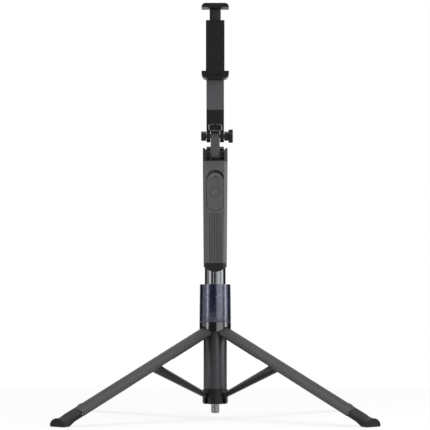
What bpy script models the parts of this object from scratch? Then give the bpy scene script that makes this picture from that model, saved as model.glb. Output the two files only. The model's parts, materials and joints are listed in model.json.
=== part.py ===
"""Selfie stick on a four-legged folding stand, as an assembly of separate pieces.

Metres, +Z up. The origin is on the floor under the column's axis and the front faces -Y.
The stand is open, as it stands on a table, and every piece is its own closed solid.
"""
import math

import bmesh
import bpy
from mathutils import Matrix, Vector

# Fits
CLEARANCE = 0.0003
PIN_RADIUS = 0.0009

# Column, hub and the four-legged stand
LEG_AZIMUTHS = (45.0, 135.0, 225.0, 315.0)
COLUMN_RADIUS = 0.0125
HUB_RADIUS = 0.0135
HUB_BOTTOM = 0.0150
HUB_TOP = 0.0303
HUB_SPIGOT_HEIGHT = 0.0050
HUB_EDGE = 0.0012
SPIGOT_RADIUS = 0.0044
SPIGOT_LENGTH = 0.0098
SPIGOT_EDGE = 0.0010
COLLAR_RADIUS = 0.0171
COLLAR_HEIGHT = 0.0050
COLLAR_EAR_DROP = 0.0024
SLEEVE_LENGTH = 0.0404
SLEEVE_TOP_RADIUS = 0.0166

# Legs, drawn folded against the column and then swung open
LEG_RADIUS = 0.0170
LEG_HALF_ANGLE = 44.0
LEG_WALL = 0.0016
LEG_LENGTH = 0.1960
LEG_ROOT = 0.0030
LEG_END_HEIGHT = 0.01478
LEG_PIVOT_RADIUS = 0.0149
LEG_PIVOT_HEIGHT = 0.0945
LEG_LUG_RADIUS = 0.0019
LEG_LUG_WIDTH = 0.0060
LEG_PIN_LENGTH = 0.0092
FOOT_LENGTH = 0.0260
FOOT_HEIGHT = 0.0086
FOOT_SOLE = 0.0110
FOOT_WIDTH = 0.0240

# Struts between the hub and the legs
STRUT_LENGTH = 0.0920
STRUT_WIDTH = 0.0036
STRUT_DEPTH = 0.0042
STRUT_PIVOT_RADIUS = 0.0108
STRUT_PIVOT_HEIGHT = 0.0225
STRUT_SEAT = 0.0024
STRUT_PIN_LENGTH = 0.0092
SLIDER_PIN_LENGTH = 0.0110

# Telescopic tubes
TUBE_WALL = 0.0009
TUBE_COUNT = 4
TUBE_BOTTOM = 0.0380
TUBE_STEP = 0.0040
TUBE_LENGTH = 0.1600
TUBE_SHOWN = 0.0146
HANDLE_DROP = 0.0120
GROOVE_WIDTH = 0.0034
GROOVE_DEPTH = 0.0005
ANCHOR_RADIUS = 0.0046
ANCHOR_DEPTH = 0.0130

# Handle, its end cap and its yoke
HANDLE_HEAD = 0.0128
HANDLE_BOTTOM_WIDTH = 0.0248
HANDLE_TOP_WIDTH = 0.0266
HANDLE_DEPTH = 0.0260
HANDLE_CHAMFER = 0.0036
HANDLE_SHOULDER = 0.0055
END_CAP_HEIGHT = 0.0080
END_CAP_EDGE = 0.0030
YOKE_HEIGHT = 0.0141
YOKE_DEPTH = 0.0230
YOKE_CHEEK = 0.0036
YOKE_BLEND = 0.0022

# Remote control in the front of the handle
REMOTE_WIDTH = 0.0180
REMOTE_LENGTH = 0.0406
THUMB_GAP = 0.0030
REMOTE_DEPTH = 0.0052
REMOTE_BACK = 0.0014
POCKET_WALL = 0.0022
BUTTON_RADIUS = 0.0052
BUTTON_DROP = 0.0008
BUTTON_DEPTH = 0.0020
BUTTON_TRAVEL = 0.0006

# Neck between the yoke and the arm
NECK_PIVOT_DROP = 0.0075
NECK_LENGTH = 0.0212
NECK_BARREL_RADIUS = 0.0052
NECK_BUSH_RADIUS = 0.0034
NECK_WIDTH = 0.0098
NECK_DEPTH = 0.0090
NECK_FLANGE_HEIGHT = 0.0016
NECK_PIN_RADIUS = 0.0018

# Arm, tilt bolt and knob
ARM_WIDTH = 0.0189
ARM_THICKNESS = 0.0045
ARM_FRONT = 0.0120
ARM_LENGTH = 0.1013
ARM_BEND_START = 0.0134
ARM_BEND_RISE = 0.0140
ARM_EAR_RADIUS = 0.0068
BOLT_RADIUS = 0.0020
NUT_RADIUS = 0.0052
NUT_LENGTH = 0.0055
KNOB_NECK_RADIUS = 0.0050
KNOB_NECK_LENGTH = 0.0046
KNOB_RADIUS = 0.0072
KNOB_LENGTH = 0.0047
CLIP_WIDTH = 0.0148
CLIP_HEIGHT = 0.0079
CLIP_BAND = 0.0012
CLIP_DEPTH = 0.0020
CLIP_SPLIT = 0.0020
CLIP_RISE = 0.0046

# Phone clamp
SWIVEL_RADIUS = 0.0034
SWIVEL_HEAD_RADIUS = 0.0060
SWIVEL_HEAD_LENGTH = 0.0022
SPINE_WIDTH = 0.0200
SPINE_BACK_WALL = 0.0022
SPINE_FRONT_WALL = 0.0014
STEM_WIDTH = 0.0120
STEM_THICKNESS = 0.0022
SPINE_FLOOR = 0.0085
JAW_WIDTH = 0.0293
JAW_OPENING = 0.0688
JAW_REACH = 0.0095
LOWER_JAW_HEIGHT = 0.0080
UPPER_JAW_HEIGHT = 0.0045
PAD_WIDTH = 0.0158
PAD_LIP_HEIGHT = 0.0036
PAD_THICKNESS = 0.0020
PAD_SEAT = 0.0040
UPPER_LIP_HEIGHT = 0.0012
JAW_CORNER = 0.0060
JAW_CLOSING = 0.0120

# Facets
ROUND_STEPS = 40
SMALL_ROUND_STEPS = 20
ARC_STEPS = 6
SMOOTH_ANGLE = math.radians(35)

# Places worked out from the sizes above
COLUMN_BORE = COLUMN_RADIUS - TUBE_WALL
COLLAR_BOTTOM = LEG_PIVOT_HEIGHT - COLLAR_EAR_DROP
COLLAR_EAR_TOP = LEG_PIVOT_HEIGHT + LEG_LUG_RADIUS + CLEARANCE
COLLAR_TOP = COLLAR_EAR_TOP + COLLAR_HEIGHT
SLEEVE_BOTTOM = COLLAR_TOP + CLEARANCE
SLEEVE_TOP = SLEEVE_BOTTOM + SLEEVE_LENGTH
COLUMN_TOP = SLEEVE_TOP - CLEARANCE
PIN_HOLE_RADIUS = PIN_RADIUS + CLEARANCE
LEG_INNER_RADIUS = COLUMN_RADIUS + CLEARANCE
OPEN_ANGLE = math.acos((LEG_PIVOT_HEIGHT - LEG_END_HEIGHT) / LEG_LENGTH)
LEG_ALONG = Vector((math.sin(OPEN_ANGLE), 0.0, -math.cos(OPEN_ANGLE)))
LEG_OUTWARD = Vector((math.cos(OPEN_ANGLE), 0.0, math.sin(OPEN_ANGLE)))
TUBE_PITCH = TUBE_WALL + CLEARANCE
FIRST_TUBE_RADIUS = COLUMN_BORE - CLEARANCE
LAST_TUBE_RADIUS = FIRST_TUBE_RADIUS - (TUBE_COUNT - 1) * TUBE_PITCH
LAST_TUBE_TOP = TUBE_BOTTOM + (TUBE_COUNT - 1) * TUBE_STEP + TUBE_LENGTH
HANDLE_BORE_RADIUS = FIRST_TUBE_RADIUS + CLEARANCE
HANDLE_BOTTOM = SLEEVE_TOP + TUBE_SHOWN + END_CAP_HEIGHT
HANDLE_BORE_TOP = LAST_TUBE_TOP - TUBE_STEP + HANDLE_DROP + 2 * CLEARANCE
REMOTE_HEIGHT = HANDLE_BORE_TOP + POCKET_WALL + CLEARANCE + REMOTE_LENGTH / 2
BUTTON_HEIGHT = REMOTE_HEIGHT - BUTTON_DROP
HANDLE_TOP = REMOTE_HEIGHT + REMOTE_LENGTH / 2 + HANDLE_HEAD
HANDLE_FRONT = -HANDLE_DEPTH / 2
REMOTE_POCKET_BACK = HANDLE_FRONT + REMOTE_DEPTH + REMOTE_BACK + 2 * CLEARANCE
YOKE_BOTTOM = HANDLE_TOP + CLEARANCE
YOKE_TOP = YOKE_BOTTOM + YOKE_HEIGHT
YOKE_GAP = HANDLE_TOP_WIDTH / 2 - YOKE_CHEEK
NECK_PIVOT_HEIGHT = YOKE_TOP - NECK_PIVOT_DROP
TILT_HEIGHT = NECK_PIVOT_HEIGHT + NECK_LENGTH
SWIVEL_HEIGHT = TILT_HEIGHT + ARM_LENGTH
NECK_FLANGE_HALF = YOKE_GAP - CLEARANCE
EAR_INNER = NECK_WIDTH / 2 + CLEARANCE
SPINE_REAR = -ARM_FRONT - CLEARANCE
SLOT_REAR = SPINE_REAR - SPINE_BACK_WALL
SLOT_FRONT = SLOT_REAR - STEM_THICKNESS - 2 * CLEARANCE
SPINE_FRONT = SLOT_FRONT - SPINE_FRONT_WALL
LOWER_JAW_TOP = SWIVEL_HEIGHT - JAW_OPENING / 2
UPPER_JAW_BOTTOM = LOWER_JAW_TOP + JAW_OPENING
SPINE_TOP = UPPER_JAW_BOTTOM - JAW_CLOSING - CLEARANCE
STEM_DROP = JAW_OPENING - JAW_CLOSING - SPINE_FLOOR - CLEARANCE
JAW_FRONT = SPINE_FRONT - JAW_REACH


def clear_scene():
    """Remove every object of the scene."""
    for item in list(bpy.data.objects):
        bpy.data.objects.remove(item, do_unlink=True)


def finish_mesh(name, shape):
    """Turn a bmesh into a mesh that faces out, with round faces shaded smooth."""
    bmesh.ops.remove_doubles(shape, verts=shape.verts, dist=1e-7)
    bmesh.ops.recalc_face_normals(shape, faces=shape.faces)
    mesh = bpy.data.meshes.new(name)
    shape.to_mesh(mesh)
    shape.free()
    mesh.shade_smooth()
    mesh.set_sharp_from_angle(angle=SMOOTH_ANGLE)
    return mesh


def circle(radius, steps, centre=(0.0, 0.0)):
    """Points of a circle, counter-clockwise from +X."""
    turns = [2 * math.pi * step / steps for step in range(steps)]
    return [(centre[0] + radius * math.cos(turn), centre[1] + radius * math.sin(turn)) for turn in turns]


def arc(radius, start, stop, steps, centre=(0.0, 0.0)):
    """Points of an arc from one angle to another, in degrees, both ends included."""
    angles = [math.radians(start + (stop - start) * step / steps) for step in range(steps + 1)]
    return [(centre[0] + radius * math.cos(a), centre[1] + radius * math.sin(a)) for a in angles]


def rounded_box(width, height, radius, steps=4):
    """Outline of a rectangle about the origin with round corners."""
    x = width / 2 - radius
    y = height / 2 - radius
    corners = ((x, y, 0), (-x, y, 90), (-x, -y, 180), (x, -y, 270))
    points = []
    for across, up, start in corners:
        points += arc(radius, start, start + 90, steps, (across, up))
    return points


def loft(name, rings, closed=False):
    """Skin a row of equal rings of points. Open rows get flat caps, closed rows join end to start."""
    shape = bmesh.new()
    rows = [[shape.verts.new(point) for point in ring] for ring in rings]
    pairs = list(zip(rows, rows[1:]))
    if closed:
        pairs.append((rows[-1], rows[0]))
    for lower, upper in pairs:
        for index in range(len(lower)):
            after = (index + 1) % len(lower)
            shape.faces.new((lower[index], lower[after], upper[after], upper[index]))
    if not closed:
        shape.faces.new(reversed(rows[0]))
        shape.faces.new(rows[-1])
    return finish_mesh(name, shape)


def extrude(name, outline, axis, start, stop):
    """Solid of one outline between two stations on an axis.

    The outline's points are (y, z) along X, (x, z) along Y and (x, y) along Z.
    """
    def place(point, station):
        if axis == "X":
            return Vector((station, point[0], point[1]))
        if axis == "Y":
            return Vector((point[0], station, point[1]))
        return Vector((point[0], point[1], station))
    return loft(name, [[place(point, station) for point in outline] for station in (start, stop)])


def rod(name, axis, radius, start, stop, centre=(0.0, 0.0), steps=SMALL_ROUND_STEPS):
    """Round bar along an axis, about a centre given as in extrude."""
    return extrude(name, circle(radius, steps, centre), axis, start, stop)


def turned(name, profile, steps=ROUND_STEPS, hollow=False):
    """Turn a profile of (radius, height) points about Z. A hollow profile is a closed loop."""
    rings = [[(x, y, height) for x, y in circle(radius, steps)] for radius, height in profile]
    return loft(name, rings, closed=hollow)


def block(name, low, high):
    """Box between two corners."""
    outline = [(low[0], low[1]), (high[0], low[1]), (high[0], high[1]), (low[0], high[1])]
    return extrude(name, outline, "Z", low[2], high[2])


def combine(mesh, tools, operation="DIFFERENCE"):
    """Cut tools from a mesh, or join them to it, and return the finished mesh."""
    body = bpy.data.objects.new(mesh.name, mesh)
    bpy.context.collection.objects.link(body)
    helpers = []
    for tool in tools:
        helper = bpy.data.objects.new(tool.name, tool)
        bpy.context.collection.objects.link(helper)
        helpers.append(helper)
        step = body.modifiers.new(tool.name, "BOOLEAN")
        step.operation = operation
        step.solver = "EXACT"
        step.object = helper
    bpy.context.view_layer.update()
    evaluated = body.evaluated_get(bpy.context.evaluated_depsgraph_get())
    shape = bmesh.new()
    shape.from_mesh(evaluated.to_mesh())
    evaluated.to_mesh_clear()
    for item in [body] + helpers:
        bpy.data.objects.remove(item, do_unlink=True)
    bmesh.ops.dissolve_degenerate(shape, edges=shape.edges, dist=1e-7)
    return finish_mesh(mesh.name, shape)


def moved(mesh, matrix):
    """The mesh after a move or a turn."""
    mesh.transform(matrix)
    mesh.update()
    return mesh


def finish(name, colour, roughness, metallic=0.0):
    """Principled material from an sRGB hex colour."""
    material = bpy.data.materials.new(name)
    material.use_nodes = True
    shader = material.node_tree.nodes["Principled BSDF"]
    channels = [int(colour[index:index + 2], 16) / 255 for index in (1, 3, 5)]
    linear = [c / 12.92 if c <= 0.04045 else ((c + 0.055) / 1.055) ** 2.4 for c in channels]
    shader.inputs["Base Color"].default_value = (*linear, 1.0)
    shader.inputs["Roughness"].default_value = roughness
    shader.inputs["Metallic"].default_value = metallic
    return material


def add(name, mesh, material, origin=(0.0, 0.0, 0.0), azimuth=0.0):
    """Place a mesh as a named piece. Its own points are measured from the origin given."""
    item = bpy.data.objects.new(name, mesh)
    bpy.context.collection.objects.link(item)
    item.location = origin
    item.rotation_euler = (0.0, 0.0, math.radians(azimuth))
    mesh.materials.clear()
    mesh.materials.append(material)
    return item


def radial(radius, azimuth, height):
    """A point at a radius and an azimuth about the column."""
    turn = math.radians(azimuth)
    return (radius * math.cos(turn), radius * math.sin(turn), height)


def swing_open(mesh):
    """Turn a leg piece, drawn folded down from its pivot, out to its open stop."""
    return moved(mesh, Matrix.Rotation(-OPEN_ANGLE, 4, "Y"))


def strut_geometry():
    """Place of the strut's outer end on the open leg, and the strut's rise above level."""
    pivot = Vector((LEG_PIVOT_RADIUS, 0.0, LEG_PIVOT_HEIGHT))
    seat = pivot - LEG_OUTWARD * STRUT_SEAT
    hub = Vector((STRUT_PIVOT_RADIUS, 0.0, STRUT_PIVOT_HEIGHT))
    offset = seat - hub
    half = offset.dot(LEG_ALONG)
    along = -half + math.sqrt(half ** 2 - offset.length_squared + STRUT_LENGTH ** 2)
    reach = seat + LEG_ALONG * along - hub
    return math.atan2(reach.z, reach.x)


def leg_mesh():
    """Quarter-round channel, open towards the column, with a hinge lug at its root."""
    wall_turn = math.degrees(LEG_WALL / LEG_INNER_RADIUS)
    skin_turn = math.degrees(LEG_WALL / (LEG_RADIUS - LEG_WALL))
    inner_half = LEG_HALF_ANGLE - skin_turn
    outline = arc(LEG_RADIUS, -LEG_HALF_ANGLE, LEG_HALF_ANGLE, 2 * ARC_STEPS)
    outline += arc(LEG_INNER_RADIUS, LEG_HALF_ANGLE, LEG_HALF_ANGLE - wall_turn, 1)
    outline += arc(LEG_RADIUS - LEG_WALL, inner_half, -inner_half, 2 * ARC_STEPS)
    outline += arc(LEG_INNER_RADIUS, wall_turn - LEG_HALF_ANGLE, -LEG_HALF_ANGLE, 1)
    outline = [(x - LEG_PIVOT_RADIUS, y) for x, y in outline]
    channel = extrude("leg_channel", outline, "Z", -LEG_LENGTH, -LEG_ROOT)
    half = LEG_LUG_WIDTH / 2
    lug_outline = arc(LEG_LUG_RADIUS, 180, 0, ARC_STEPS)
    lug_outline += [(LEG_LUG_RADIUS, -2 * LEG_ROOT), (-LEG_LUG_RADIUS, -2 * LEG_ROOT)]
    lug = extrude("leg_lug", lug_outline, "Y", -half, half)
    hole = rod("leg_hole", "Y", PIN_HOLE_RADIUS, -LEG_LUG_WIDTH, LEG_LUG_WIDTH)
    hub_low = HUB_BOTTOM - LEG_PIVOT_HEIGHT - 2 * CLEARANCE
    hub_high = HUB_TOP - LEG_PIVOT_HEIGHT + 2 * CLEARANCE
    relief = rod("hub_relief", "Z", HUB_RADIUS + CLEARANCE, hub_low, hub_high,
                 (-LEG_PIVOT_RADIUS, 0.0), ROUND_STEPS)
    return swing_open(combine(combine(channel, [lug], "UNION"), [hole, relief]))


def foot_mesh():
    """Rubber shoe on the end of an open leg, flat on the floor and flared to a D-shaped toe."""
    start = LEG_LENGTH + CLEARANCE
    side = LEG_INNER_RADIUS * math.cos(math.radians(LEG_HALF_ANGLE)) - LEG_PIVOT_RADIUS
    skin = LEG_RADIUS - LEG_PIVOT_RADIUS
    spread = math.tan(math.radians(LEG_HALF_ANGLE))
    upright = Vector((0.0, 0.0, 1.0))
    rings = []
    stations = 5
    for index in range(stations + 1):
        share = index / stations
        along = LEG_ALONG * (start + FOOT_LENGTH * share)
        lean = LEG_OUTWARD.lerp(upright, share).normalized()
        height = LEG_PIVOT_HEIGHT + along.z
        low = -height / lean.z if FOOT_LENGTH * (1 - share) < FOOT_SOLE else side
        high = max(skin, (FOOT_HEIGHT - height) / lean.z)
        inner = (along + lean * low).dot(LEG_OUTWARD) + LEG_PIVOT_RADIUS
        half = min(FOOT_WIDTH / 2, inner * spread)
        ring = [along + lean * low + Vector((0.0, -half, 0.0))]
        for across, up in arc(1.0, 180, 0, 2 * ARC_STEPS)[1:-1]:
            rise = lean * (low + (high - low) * up)
            bulge = FOOT_WIDTH / 2 - (FOOT_WIDTH / 2 - half) * (1 - up) ** 2
            ring.append(along + rise + Vector((0.0, bulge * across, 0.0)))
        ring.append(along + lean * low + Vector((0.0, half, 0.0)))
        rings.append(ring)
    return loft("foot", rings)


def strut_mesh(rise):
    """Flat link with round ends, drilled for its hub pin and its slider pin."""
    radius = STRUT_DEPTH / 2
    half = STRUT_WIDTH / 2
    outline = arc(radius, 90, 270, ARC_STEPS) + arc(radius, -90, 90, ARC_STEPS, (STRUT_LENGTH, 0.0))
    link = extrude("strut_link", outline, "Y", -half, half)
    holes = [rod("hub_end", "Y", PIN_HOLE_RADIUS, -STRUT_WIDTH, STRUT_WIDTH),
             rod("leg_end", "Y", PIN_HOLE_RADIUS, -STRUT_WIDTH, STRUT_WIDTH, (STRUT_LENGTH, 0.0))]
    return moved(combine(link, holes), Matrix.Rotation(-rise, 4, "Y"))


def build_legs(materials):
    """Four legs with their shoes, struts and pins, each on its own hinge axis."""
    rise = strut_geometry()
    leg = leg_mesh()
    foot = foot_mesh()
    strut = strut_mesh(rise)
    leg_pin = rod("leg_pin", "Y", PIN_RADIUS, -LEG_PIN_LENGTH / 2, LEG_PIN_LENGTH / 2)
    strut_pin = rod("strut_pin", "Y", PIN_RADIUS, -STRUT_PIN_LENGTH / 2, STRUT_PIN_LENGTH / 2)
    end = (STRUT_LENGTH * math.cos(rise), STRUT_LENGTH * math.sin(rise))
    slider = rod("slider", "Y", PIN_RADIUS, -SLIDER_PIN_LENGTH / 2, SLIDER_PIN_LENGTH / 2, end)
    for number, azimuth in enumerate(LEG_AZIMUTHS, start=1):
        hinge = radial(LEG_PIVOT_RADIUS, azimuth, LEG_PIVOT_HEIGHT)
        joint = radial(STRUT_PIVOT_RADIUS, azimuth, STRUT_PIVOT_HEIGHT)
        add(f"leg_{number}", leg, materials["leg"], hinge, azimuth)
        add(f"foot_{number}", foot, materials["rubber"], hinge, azimuth)
        add(f"leg_pin_{number}", leg_pin, materials["steel"], hinge, azimuth)
        add(f"strut_{number}", strut, materials["black"], joint, azimuth)
        add(f"strut_pin_{number}", strut_pin, materials["steel"], joint, azimuth)
        add(f"slider_pin_{number}", slider, materials["steel"], joint, azimuth)


def build_column(materials):
    """Column tube with the leg collar, the navy sleeve, the strut hub and the foot spigot."""
    bore = COLUMN_RADIUS + CLEARANCE
    column_bottom = HUB_TOP + CLEARANCE
    column = turned("column", [(COLUMN_RADIUS, COLUMN_TOP), (COLUMN_RADIUS, column_bottom),
                               (COLUMN_BORE, column_bottom), (COLUMN_BORE, COLUMN_TOP)], hollow=True)
    add("column_tube", column, materials["column"])

    collar = turned("collar", [(COLLAR_RADIUS, COLLAR_TOP), (COLLAR_RADIUS, COLLAR_BOTTOM),
                               (bore, COLLAR_BOTTOM), (bore, COLLAR_TOP)], hollow=True)
    half = LEG_LUG_WIDTH / 2 + CLEARANCE
    cuts = []
    for azimuth in LEG_AZIMUTHS:
        turn = Matrix.Rotation(math.radians(azimuth), 4, "Z")
        slot = block("lug_slot", (COLUMN_RADIUS / 2, -half, COLLAR_BOTTOM - COLLAR_HEIGHT),
                     (2 * COLLAR_RADIUS, half, COLLAR_EAR_TOP))
        hole_half = LEG_PIN_LENGTH / 2 + CLEARANCE
        hole = rod("pin_hole", "Y", PIN_HOLE_RADIUS, -hole_half, hole_half,
                   (LEG_PIVOT_RADIUS, LEG_PIVOT_HEIGHT))
        cuts += [moved(slot, turn), moved(hole, turn)]
    add("leg_collar", combine(collar, cuts), materials["gloss"])

    sleeve = turned("sleeve", [(SLEEVE_TOP_RADIUS, SLEEVE_TOP), (COLLAR_RADIUS, SLEEVE_BOTTOM),
                               (bore, SLEEVE_BOTTOM), (bore, SLEEVE_TOP)], hollow=True)
    add("grip_sleeve", sleeve, materials["navy"])

    spigot_top = HUB_TOP + HUB_SPIGOT_HEIGHT
    seat_radius = COLUMN_BORE - CLEARANCE
    hub = turned("hub", [(seat_radius, spigot_top), (seat_radius, HUB_TOP), (HUB_RADIUS, HUB_TOP),
                         (HUB_RADIUS, HUB_BOTTOM + HUB_EDGE), (HUB_RADIUS - HUB_EDGE, HUB_BOTTOM)])
    socket = rod("spigot_socket", "Z", SPIGOT_RADIUS + CLEARANCE, 0.0, HUB_BOTTOM + SPIGOT_LENGTH / 2)
    cuts = [socket]
    slot_half = STRUT_WIDTH / 2 + CLEARANCE
    slot_back = STRUT_PIVOT_RADIUS - STRUT_DEPTH / 2 - CLEARANCE
    slot_top = STRUT_PIVOT_HEIGHT + STRUT_DEPTH / 2 + STRUT_DEPTH / 2
    for azimuth in LEG_AZIMUTHS:
        turn = Matrix.Rotation(math.radians(azimuth), 4, "Z")
        slot = block("strut_slot", (slot_back, -slot_half, 0.0), (2 * HUB_RADIUS, slot_half, slot_top))
        hole_half = STRUT_PIN_LENGTH / 2 + CLEARANCE
        hole = rod("strut_hole", "Y", PIN_HOLE_RADIUS, -hole_half, hole_half,
                   (STRUT_PIVOT_RADIUS, STRUT_PIVOT_HEIGHT))
        cuts += [moved(slot, turn), moved(hole, turn)]
    add("strut_hub", combine(hub, cuts), materials["black"])

    top = HUB_BOTTOM + SPIGOT_LENGTH / 2 - CLEARANCE
    bottom = HUB_BOTTOM - SPIGOT_LENGTH
    spigot = turned("spigot", [(SPIGOT_RADIUS, top), (SPIGOT_RADIUS, bottom + SPIGOT_EDGE),
                               (SPIGOT_RADIUS - SPIGOT_EDGE, bottom)], SMALL_ROUND_STEPS)
    add("foot_spigot", spigot, materials["steel"])


def build_tubes(materials):
    """Telescopic tubes nested in the column. The largest has a guide groove down its front."""
    for index in range(TUBE_COUNT):
        outer = FIRST_TUBE_RADIUS - index * TUBE_PITCH
        inner = outer - TUBE_WALL
        bottom = TUBE_BOTTOM + index * TUBE_STEP
        top = bottom + TUBE_LENGTH
        tube = turned("tube", [(outer, top), (outer, bottom), (inner, bottom), (inner, top)], hollow=True)
        if index == 0:
            half = GROOVE_WIDTH / 2
            groove = block("groove", (-half, -2 * outer, 0.0), (half, GROOVE_DEPTH - outer, 2 * top))
            tube = combine(tube, [groove])
        add(f"tube_{index + 1}", tube, materials["chrome"])
    plug = LAST_TUBE_RADIUS - TUBE_WALL - CLEARANCE
    shoulder = LAST_TUBE_TOP + CLEARANCE
    anchor_top = REMOTE_HEIGHT
    anchor = turned("anchor", [(ANCHOR_RADIUS, anchor_top), (ANCHOR_RADIUS, shoulder), (plug, shoulder),
                               (plug, LAST_TUBE_TOP - ANCHOR_DEPTH)], SMALL_ROUND_STEPS)
    add("tube_anchor", anchor, materials["black"])


def octagon(width, depth, chamfer):
    """Outline of a rectangle about the origin with its corners cut off."""
    x = width / 2
    y = depth / 2
    return [(x, chamfer - y), (x, y - chamfer), (x - chamfer, y), (chamfer - x, y),
            (-x, y - chamfer), (-x, chamfer - y), (chamfer - x, -y), (x - chamfer, -y)]


def pill(width, length, height):
    """Upright outline with full-round ends, about a height on the front."""
    radius = width / 2
    straight = length / 2 - radius
    return (arc(radius, 0, 180, 2 * ARC_STEPS, (0.0, height + straight))
            + arc(radius, 180, 360, 2 * ARC_STEPS, (0.0, height - straight)))


def build_handle(materials):
    """Handle body, its bowed end cap and the yoke on its top."""
    lower = octagon(HANDLE_BOTTOM_WIDTH, HANDLE_DEPTH, HANDLE_CHAMFER)
    upper = octagon(HANDLE_TOP_WIDTH, HANDLE_DEPTH, HANDLE_CHAMFER)
    rim = octagon(HANDLE_TOP_WIDTH, YOKE_DEPTH, HANDLE_CHAMFER)
    body = loft("handle", [[(x, y, HANDLE_BOTTOM) for x, y in lower],
                           [(x, y, HANDLE_TOP - HANDLE_SHOULDER) for x, y in upper],
                           [(x, y, HANDLE_TOP) for x, y in rim]])
    bore = rod("handle_bore", "Z", HANDLE_BORE_RADIUS, 0.0, HANDLE_BORE_TOP, steps=ROUND_STEPS)
    socket = rod("anchor_socket", "Z", ANCHOR_RADIUS + CLEARANCE, HANDLE_BOTTOM, REMOTE_HEIGHT + CLEARANCE)
    pocket_outline = pill(REMOTE_WIDTH + 2 * CLEARANCE, REMOTE_LENGTH + 2 * CLEARANCE + THUMB_GAP,
                          REMOTE_HEIGHT + THUMB_GAP / 2)
    pocket = extrude("remote_pocket", pocket_outline, "Y", -HANDLE_DEPTH, REMOTE_POCKET_BACK)
    add("handle_body", combine(body, [bore, socket, pocket]), materials["handle"])

    cap_top = HANDLE_BOTTOM - CLEARANCE
    cap_bottom = HANDLE_BOTTOM - END_CAP_HEIGHT
    half_width = HANDLE_BOTTOM_WIDTH / 2
    bow = END_CAP_EDGE / half_width ** 2
    cap_depth = HANDLE_DEPTH - CLEARANCE
    corners = octagon(HANDLE_BOTTOM_WIDTH - CLEARANCE, cap_depth, HANDLE_CHAMFER)
    outer = []
    steps_per_side = 4
    for (x, y), (next_x, next_y) in zip(corners, corners[1:] + corners[:1]):
        for step in range(steps_per_side):
            share = step / steps_per_side
            outer.append((x + (next_x - x) * share, y + (next_y - y) * share))
    inner = []
    for x, y in outer:
        reach = math.hypot(x, y)
        inner.append((x * HANDLE_BORE_RADIUS / reach, y * HANDLE_BORE_RADIUS / reach))
    cap = loft("cap", [[(x, y, cap_top) for x, y in outer],
                       [(x, y, cap_bottom + bow * x * x) for x, y in outer],
                       [(x, y, cap_bottom + bow * x * x) for x, y in inner],
                       [(x, y, cap_top) for x, y in inner]], closed=True)
    add("handle_end_cap", cap, materials["black"])

    yoke = extrude("yoke", octagon(HANDLE_TOP_WIDTH, YOKE_DEPTH, HANDLE_CHAMFER), "Z", YOKE_BOTTOM, YOKE_TOP)
    floor = NECK_PIVOT_HEIGHT - NECK_BARREL_RADIUS - CLEARANCE
    blend = YOKE_GAP + YOKE_BLEND
    gap = extrude("yoke_gap", [(-YOKE_GAP, floor), (YOKE_GAP, floor), (YOKE_GAP, YOKE_TOP - YOKE_BLEND),
                               (blend, YOKE_TOP), (blend, YOKE_TOP + YOKE_HEIGHT),
                               (-blend, YOKE_TOP + YOKE_HEIGHT), (-blend, YOKE_TOP),
                               (-YOKE_GAP, YOKE_TOP - YOKE_BLEND)], "Y", -YOKE_DEPTH, YOKE_DEPTH)
    hole = rod("neck_hole", "X", NECK_PIN_RADIUS + CLEARANCE, -HANDLE_TOP_WIDTH, HANDLE_TOP_WIDTH,
               (0.0, NECK_PIVOT_HEIGHT))
    add("handle_yoke", combine(yoke, [gap, hole]), materials["black"])


def build_remote(materials):
    """Pull-out remote control with its back cover and its shutter button."""
    outline = pill(REMOTE_WIDTH, REMOTE_LENGTH, 0.0)
    back = HANDLE_FRONT + REMOTE_DEPTH
    origin = (0.0, 0.0, REMOTE_HEIGHT)
    case = extrude("remote", outline, "Y", HANDLE_FRONT, back)
    well_centre = (0.0, -BUTTON_DROP)
    well = rod("button_well", "Y", BUTTON_RADIUS + CLEARANCE, 2 * HANDLE_FRONT,
               HANDLE_FRONT + BUTTON_DEPTH + BUTTON_TRAVEL + CLEARANCE, well_centre, ROUND_STEPS)
    add("remote_case", combine(case, [well]), materials["handle"], origin)
    cover = extrude("cover", outline, "Y", back + CLEARANCE, back + CLEARANCE + REMOTE_BACK)
    add("remote_back_cover", cover, materials["black"], origin)
    button = rod("button", "Y", BUTTON_RADIUS, HANDLE_FRONT, HANDLE_FRONT + BUTTON_DEPTH, steps=ROUND_STEPS)
    add("remote_button", button, materials["handle"], (0.0, 0.0, BUTTON_HEIGHT))


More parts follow.
